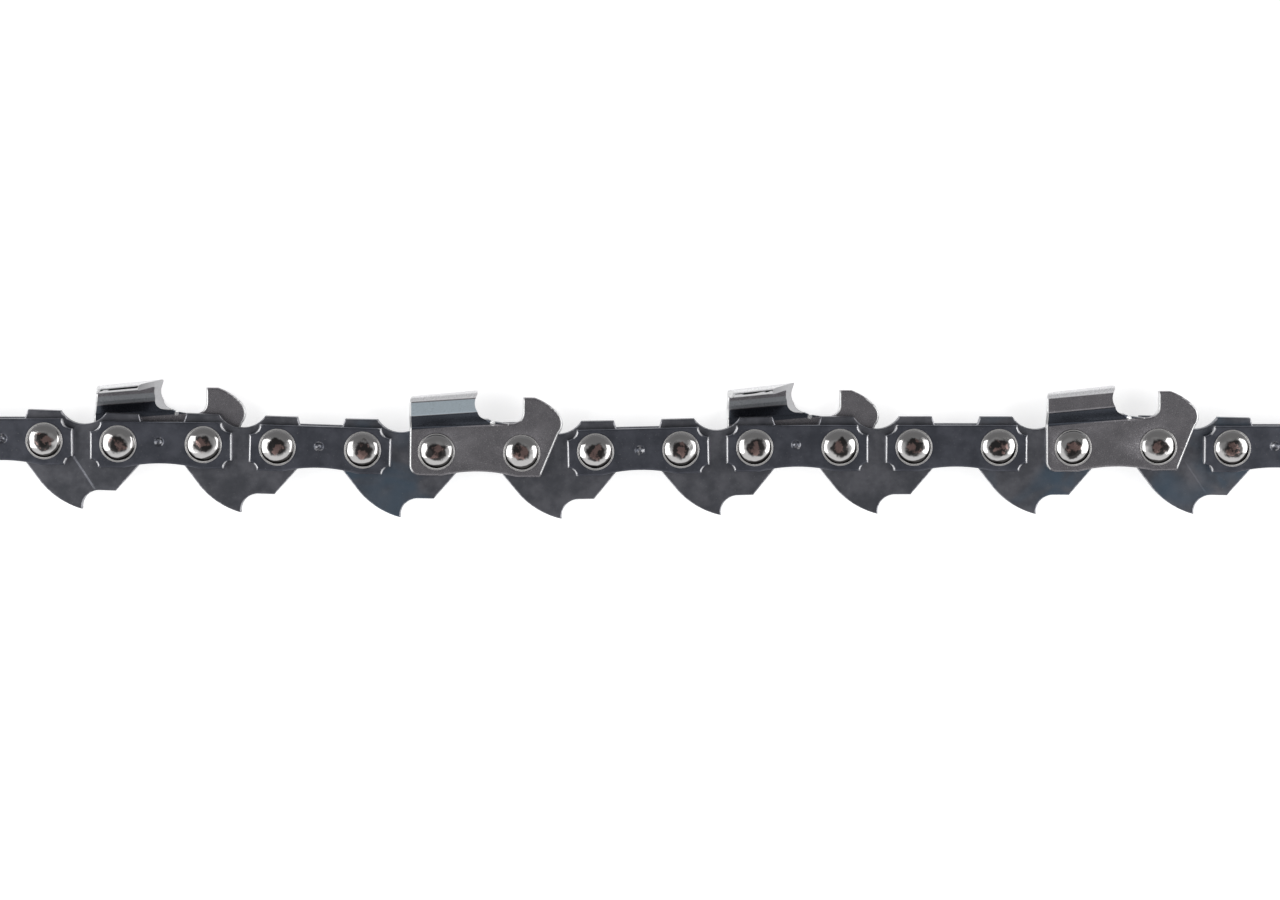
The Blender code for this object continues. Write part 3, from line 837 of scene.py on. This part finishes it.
def toothSection():
    # The folded tooth in cross section: matching points of its outer and inner face, from the fold
    # line up the leaning band and the side plate, over the crest and in along the top plate
    upright = (1, 0)
    lean = (math.cos(cutter["lean"]), math.sin(cutter["lean"]))
    across = (-math.sin(cutter["topDrop"]), -math.cos(cutter["topDrop"]))
    side = chain["kerf"] / 2
    knee = (cutter["fold"] + cutter["bend"] * math.tan(cutter["lean"] / 2), plateOuter)
    hip = crossing(knee, lean, (0, side), upright)
    crest = (cutter["top"], side)
    width = cutter["topWidth"] / math.cos(cutter["topDrop"])
    rim = (crest[0] + across[0] * width, crest[1] + across[1] * width)
    underLean = (knee[0] + lean[1] * chain["plate"], knee[1] - lean[0] * chain["plate"])
    down = (across[1] * cutter["topThickness"], -across[0] * cutter["topThickness"])
    underTop = (crest[0] + down[0], crest[1] + down[1])
    sideInner = (0, side - chain["plate"])
    innerKnee = crossing((0, plateInner), upright, underLean, lean)
    innerHip = crossing(underLean, lean, sideInner, upright)
    innerCrest = crossing(sideInner, upright, underTop, across)
    straights = (2, 14, 34, 40)
    outer = bentPath([(cutter["fold"], plateOuter, 0), (*knee, cutter["bend"]), (*hip, cutter["bend"]),
                      (*crest, cutter["crest"]), (*rim, 0)], straights, 10)
    inner = bentPath([(cutter["fold"], plateInner, 0), (*innerKnee, cutter["bend"]),
                      (*innerHip, cutter["innerBend"]), (*innerCrest, cutter["innerBend"]),
                      (rim[0] + down[0], rim[1] + down[1], 0)], straights, 10)
    # The free edge is rounded off, then closed along its middle
    a = np.radians([20, 45, 70, 90])
    shrink = np.append(1 - 2 * cutter["edge"] / cutter["topThickness"] * (1 - np.cos(a)), 0)
    reach = cutter["edge"] * np.append(np.sin(a), 1)
    middle, half = (outer[-1] + inner[-1]) / 2, (outer[-1] - inner[-1]) / 2
    beyond = middle + reach[:, None] * np.array(across)
    return (np.concatenate([outer, beyond + shrink[:, None] * half]),
            np.concatenate([inner, beyond - shrink[:, None] * half]))


def frontRun(climb):
    # How far ahead of the crest the unfiled front lies, run * (1 - climb) ^ power, and its slope
    run, power = cutter["foldFront"] - cutter["topFront"], cutter["frontSweep"]
    slope = run * power * (1 - climb) ** (power - 1) / (cutter["top"] - cutter["fold"])
    return run * (1 - climb) ** power, slope


def toothGrid(rear):
    # The tooth as a grid: rows go up the section, and the columns of a row go round the sheet, back
    # along the outer face, round the rear edge, forward inside and across the front. The front is
    # x = file axis - sqrt(R^2 - (y - fileY)^2) / cos(tilt), where the round file has cut it.
    outer, inner = toothSection()
    profile = rimProfile(1.0, cutter["edge"], wall=5)
    share = profile[:, 1].copy()
    inset = profile[:, 0]
    runs = np.array([0.012, 0.03, 0.07, 0.15, 0.3, 0.5, 0.7, 0.88, 0.96])
    land = np.full(len(runs), inset[0])
    w = np.concatenate([np.zeros(len(runs)), share, np.ones(len(runs)), share[::-1]])
    u = np.concatenate([runs, np.ones(len(share)), runs[::-1], np.zeros(len(share))])
    moveIn = np.concatenate([land, inset, land, inset[::-1]])
    wear = np.concatenate([runs * 0, profile[:, 2], runs * 0, profile[::-1, 2]])
    y0 = outer[:, None, 0] * (1 - w) + inner[:, None, 0] * w
    z0 = outer[:, None, 1] * (1 - w) + inner[:, None, 1] * w
    climb = np.clip((y0 - cutter["fold"]) / (cutter["top"] - cutter["fold"]), 0, 1)
    ahead, steep = frontRun(climb)
    plain = cutter["topFront"] + ahead - moveIn / np.hypot(1, steep)
    dip = moveIn * steep / np.hypot(1, steep) * (1 - u)
    slope = cutter["foldSlope"] + (cutter["backSlope"] - cutter["foldSlope"]) * climb
    fileReach = cutter["fileRadius"] / math.cos(cutter["fileTilt"])
    corner = cutter["fileX"] - fileReach
    inward = np.clip((chain["kerf"] / 2 - z0) / cutter["topWidth"], 0, 1)
    back = rear + moveIn + cutter["topTrim"] * inward * climb ** 3

    def tapered(x):
        out = (z0 - plateOuter) * (1 + cutter["backTaper"] * (x - corner))
        return np.where(z0 > plateOuter, plateOuter + out, z0)

    front, x = plain, plain
    for _ in range(cutter["rounds"]):
        z = tapered(x)
        y = y0 + front * slope - dip
        reach = np.clip(1 - ((y - cutter["fileY"]) / cutter["fileRadius"]) ** 2, 0, 1)
        axis = cutter["fileX"] + (z - chain["kerf"] / 2) * math.tan(cutter["fileTilt"])
        filed = np.where(reach > 0, axis - fileReach * np.sqrt(reach), np.inf)
        front = np.minimum(plain, filed)
        x = front * (1 - u) + back * u
    z = tapered(x)
    y = y0 + x * slope - dip
    bottomX = plain[0] * (1 - u) + back[0] * u
    drop = dip[0] + cutter["joinDrop"] * u
    bottomY = cutter["fold"] + bottomX * cutter["foldSlope"] - drop
    bottom = np.stack([bottomX, bottomY, z0[0]], axis=1)[None]
    grid = np.concatenate([bottom, np.stack([x, y, z], axis=-1)])
    atFront = u == 0
    isFiled = np.concatenate([[np.zeros(len(u), bool)], (filed < plain) & atFront])
    wear = np.broadcast_to(wear, isFiled.shape).copy()
    wear[1:] *= np.where(atFront, np.clip(climb * 5 - 0.5, 0, 1), 1)
    wear[isFiled] = 0.3
    n, k = len(runs), len(share)
    columns = {"outer": slice(0, n), "rear": slice(n, n + k), "inner": slice(n + k, 2 * n + k),
               "front": slice(2 * n + k, None)}
    # The free edge of the top plate has painted shade along its upper half and a painted highlight along its
    # lower
    wear[-2:, columns["outer"]] = -1
    wear[-5:-1, columns["inner"]] = 1.2
    return grid, wear, isFiled, columns, profile


def cutterOutline(half, rear, joinY, frontCorner):
    # From the rear end of the fold line down round the heel, under the feet, up the nose, over the
    # depth gauge and down the gullet to the front end of the fold line
    low = -chain["waist"]
    toe = (half + cutter["toeReach"], low)
    cheek = (half + cutter["cheekReach"], cutter["cheekHeight"])
    nose = (half + cutter["noseReach"], cutter["noseHeight"])
    gaugeBack = half + cutter["gaugeRear"]
    brow = (gaugeBack + cutter["gaugeLength"], cutter["gaugeTop"])
    r = cutter["rearCorner"]
    level = (gaugeBack - cutter["gulletRadius"], cutter["gulletFloor"] + cutter["gulletRadius"])
    ends = half - chain["footStart"]
    behind = joined(linePath((rear, joinY), (rear, 0), 8), linePath((rear, 0), (rear, low + r), 4),
                    arcPath((rear + r, low + r), r, 180, 270, 12),
                    linePath((rear + r, low), (-ends, low), 5), footArch(half),
                    linePath((ends, low), toe, 5))
    cheekShare = -low / (cutter["cheekHeight"] - low)
    level0 = (toe[0] + (cheek[0] - toe[0]) * cheekShare, 0)
    gaugeCorner = (gaugeBack, cutter["gaugeTop"])
    rising = joined(linePath(level0, cheek, 6), bowPath(cheek, nose, cutter["noseBulge"], 12),
                    bowPath(nose, brow, cutter["browBulge"], 14), linePath(brow, gaugeCorner, 8),
                    linePath(gaugeCorner, (gaugeBack, level[1]), 9),
                    arcPath(level, cutter["gulletRadius"], 0, -90, 14),
                    linePath((level[0], cutter["gulletFloor"]), frontCorner, 10))
    path = cleared(joined(behind, linePath(toe, level0, 6), rising), cutter["edge"] + chain["land"])
    left, right = (int(np.argmin(np.hypot(*(path - place).T))) for place in ((rear, 0), level0))
    return path, left, right


def cutterShell(half):
    rear = -half - cutter["rearReach"]
    grid, wear, isFiled, columns, profile = toothGrid(rear)
    shell = Shell()
    numbers = shell.add(grid, wear)
    turned = np.roll(isFiled, -1, axis=1)
    shell.skin(numbers, finish=np.where(isFiled[1:] & turned[1:], 1, 2))
    # The flat chassis shares the tooth's lowest row
    frontCorner = (cutter["foldFront"], cutter["fold"] + cutter["foldFront"] * cutter["foldSlope"])
    joinY = float(grid[0, columns["rear"]][len(profile) // 2, 1])
    path, left, right = cutterOutline(half, rear, joinY, frontCorner)
    beyond = np.array(frontCorner) + [-frontRun(0)[1], 1]
    ghosts = np.concatenate([[[rear, joinY + 1]], path, [beyond]])
    way = inwards(ghosts)[1:-1]
    rim = profile * [1, chain["plate"], 1]
    body = carried(path, way, rim, plateOuter)
    # Its edges are painted pale as a highlight where they face along the chain, towards the lamps
    middle = shell.add(body[:, 1:-1], rim[:, 2][:, None] * endShare(way)[1:-1])
    rearEnd, frontEnd = numbers[0, columns["rear"]], numbers[0, columns["front"]][::-1]
    rings = np.concatenate([rearEnd[:, None], middle, frontEnd[:, None]], axis=1)
    shell.skin(rings, closed=False)
    outerHole = holeProfile(chain["plate"], cutter["recess"], cutter["recessDepth"])
    radius = rivet["shank"] + rivet["clear"]
    holes = [addHole(shell, (x, 0), radius, outerHole, plateOuter) for x in (-half, half)]
    upper = np.concatenate([rings[0], numbers[0, columns["outer"]]])
    lower = np.concatenate([rings[-1], numbers[0, columns["inner"]][::-1]])
    addFaces(shell, upper, right, left, [hole[0] for hole in holes], False)
    addFaces(shell, lower, right, left, [hole[-1] for hole in holes], True)
    return shell


def makeCutter(name, number, side, body):
    seat = seatOf(f"rear_rivet_{number}", f"front_rivet_{number}")
    tooth = innerToothSteelPaintedLight if side < 0 else brightSideToothSteelPaintedLight if number in cutter["bright"] else toothSteelPaintedLight
    makePiece(name, cutterShell(seat[2]), seat, side, [cutterSteel, filedSteel, tooth], body)


for body, nodes in frame["record"]["behaviour"]["bodies"].items():
    for node in nodes:
        number = int(node.rsplit("_", 1)[1])
        side = -1 if node.startswith("left") else 1
        if "rivet" in node:
            makeRivet(node, body)
        elif "strap" in node:
            makeStrap(node, number, side, body)
        elif "drive" in node:
            makeDriveLink(node, number, body)
        else:
            makeCutter(node, number, side, body)


# Camera, light and ground

studio = {
    "photoWidth": 1280, "pixelsPerMm": 8.55, "lookAt": (0.208, 0.13), "away": 475.0,
    "sharpHeight": 5.4,  # the plane of the rivet heads, where the photograph's scale was read
    "tilt": 5.0,  # degrees that the camera leans from overhead towards the cutting side
    "lampLevel": 2.0, "lampSize": (225.0, 320.0),
    "lampPlace": (335.0, 295.0),  # how far out and how high
    "zenith": (0.28, 0.28, 0.285), "horizon": (1.0, 1.0, 1.0),
    "cuttingShoulder": (0.2, 0.2, 0.205), "drivingShoulder": (0.85, 0.85, 0.86),
    "cuttingSide": (0.25, 0.25, 0.26), "drivingSide": (0.03, 0.03, 0.033),
    # Where each of them fades into the next, by the y or the z of the direction
    "sideFade": (-0.45, 0.1), "shoulderFade": (-0.3, 0.3),
    "shoulderRise": (0.45, 0.6), "zenithRise": (0.86, 0.97), "horizonRise": (0.02, 0.2),
}
ground = {
    "size": 1.5,
    "drop": 0.00003,  # keeps it just under the chain
    "colour": 0.75,
    "rough": 0.9,
    "glow": 0.68,  # lifts it to white in the picture, without lighting the chain
}


def makeCamera():
    data = bpy.data.cameras.new("camera")
    away, tilt = studio["away"] * mm, math.radians(studio["tilt"])
    wide = studio["photoWidth"] / studio["pixelsPerMm"] * mm
    data.lens = data.sensor_width * away / wide
    data.clip_start, data.clip_end = away / 100, away * 20
    camera = show("camera", data)
    camera.location = (studio["lookAt"][0] * mm, studio["lookAt"][1] * mm + away * math.sin(tilt),
                       studio["sharpHeight"] * mm + away * math.cos(tilt))
    camera.rotation_euler.x = -tilt
    bpy.context.scene.camera = camera


def makeLamp(name, way):
    # A tall soft light at one end of the chain, turned to face its middle
    data = bpy.data.lights.new(name, "AREA")
    data.shape = "RECTANGLE"
    data.size, data.size_y = (length * mm for length in studio["lampSize"])
    data.energy = 4 * studio["lampLevel"] * data.size * data.size_y
    out, high = (length * mm for length in studio["lampPlace"])
    lamp = show(name, data)
    lamp.location = (way * out, 0, high)
    lamp.rotation_euler.y = way * math.atan2(out, high)
    lamp.visible_camera = False


def makeWorld():
    # White at the horizon, pale half way up and grey overhead. Low down it is grey on the cutters'
    # side and dark on the side of the drive tangs.
    world = bpy.data.worlds.new("studio")
    bpy.context.scene.world = world
    world.use_nodes = True
    tree = world.node_tree
    way = put(tree, "ShaderNodeTexCoord").outputs["Generated"]
    across, upward = put(tree, "ShaderNodeSeparateXYZ", {0: way}).outputs[1:3]

    def faded(way, fade, before, after):
        return blended(tree, ramp(tree, way, *studio[fade]), before, after)

    side = faded(across, "sideFade", studio["drivingSide"], studio["cuttingSide"])
    shoulder = faded(across, "shoulderFade", studio["drivingShoulder"], studio["cuttingShoulder"])
    around = faded(upward, "shoulderRise", side, shoulder)
    above = faded(upward, "zenithRise", around, studio["zenith"])
    colour = faded(upward, "horizonRise", studio["horizon"], above)
    feed(tree, tree.nodes["Background"], {"Color": colour, "Strength": 1.0})


def makeGround():
    # A pale sheet under the chain, which shows white but keeps the shadows
    size, low = ground["size"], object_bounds()[0].z - ground["drop"]
    corners = [(x * size, y * size, low) for x, y in ((-1, -1), (1, -1), (1, 1), (-1, 1))]
    mesh = bpy.data.meshes.new("ground")
    mesh.from_pydata(corners, [], [(0, 1, 2, 3)])
    material = bpy.data.materials.new("paleGround")
    material.use_nodes = True
    tree = material.node_tree
    rays = put(tree, "ShaderNodeLightPath").outputs
    seen = sums(tree, "MAXIMUM", rays["Is Glossy Ray"], rays["Is Transmission Ray"])
    seen = sums(tree, "MAXIMUM", rays["Is Camera Ray"], seen)
    feed(tree, tree.nodes["Principled BSDF"], {
        "Base Color": (*(ground["colour"],) * 3, 1), "Roughness": ground["rough"], "Specular IOR Level": 0.0,
        "Emission Color": (1, 1, 1, 1), "Emission Strength": times(tree, seen, ground["glow"]),
    })
    mesh.materials.append(material)
    show("ground", mesh)


makeCamera()
makeLamp("leftLamp", -1)
makeLamp("rightLamp", 1)
makeWorld()
makeGround()
bpy.context.scene.view_settings.view_transform = "Standard"
print("studio made")
